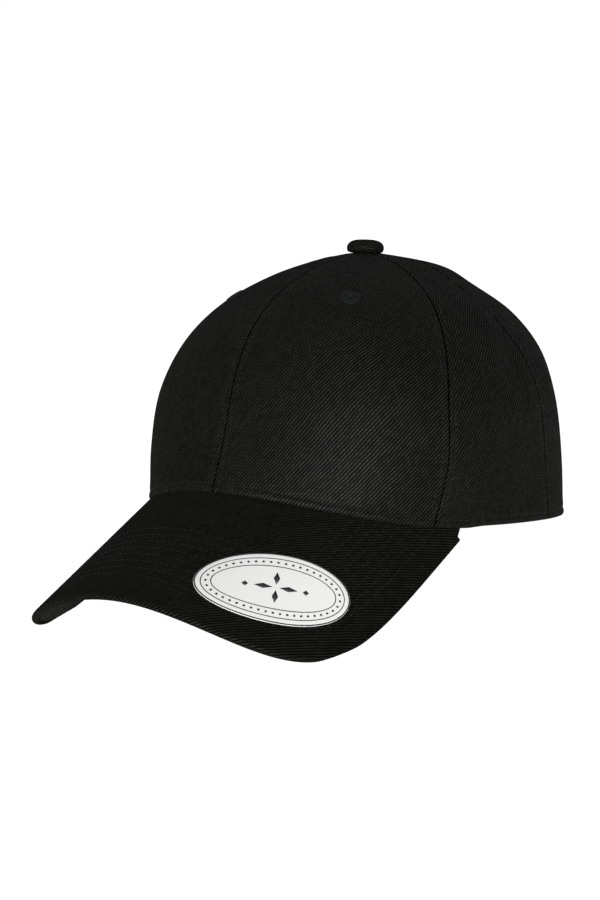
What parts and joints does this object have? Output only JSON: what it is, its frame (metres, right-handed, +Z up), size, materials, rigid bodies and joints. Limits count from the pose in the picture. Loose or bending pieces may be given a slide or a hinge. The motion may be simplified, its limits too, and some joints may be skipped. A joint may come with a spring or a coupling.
{
  "type": "snapback cap",
  "caption": "Six-panel curved-peak cap in black twill, hollow, with a snap strap across its rear arch, resting tilted back on its peak and strap.",
  "frame": {"origin": "middle of the cap's outline, on the surface that it rests on", "axes": "+Z up, -Y towards the front of the peak, +X towards the wearer's left"},
  "size_m": [0.1662, 0.268, 0.1368],
  "materials": {
    "crown_twill": "black twill with diagonal ribs",
    "peak_twill": "black twill with rows of stitches",
    "sweatband_cloth": "plain black woven cloth",
    "eyelet_thread": "satin-stitched black thread",
    "strap_plastic": "satin black plastic",
    "label_film": "brushed silver film"
  },
  "bodies": {
    "root": {"crown_panel_front_left": "crown_twill", "crown_panel_side_left": "crown_twill", "crown_panel_back_left": "crown_twill", "crown_panel_front_right": "crown_twill", "crown_panel_side_right": "crown_twill", "crown_panel_back_right": "crown_twill", "eyelet_front_left": "eyelet_thread", "eyelet_front_right": "eyelet_thread", "top_button": "crown_twill", "sweatband": "sweatband_cloth", "snap_closure": "strap_plastic", "peak_top_cover": "peak_twill", "peak_under_cover": "peak_twill", "peak_label": "label_film"}
  },
  "joints": []
}
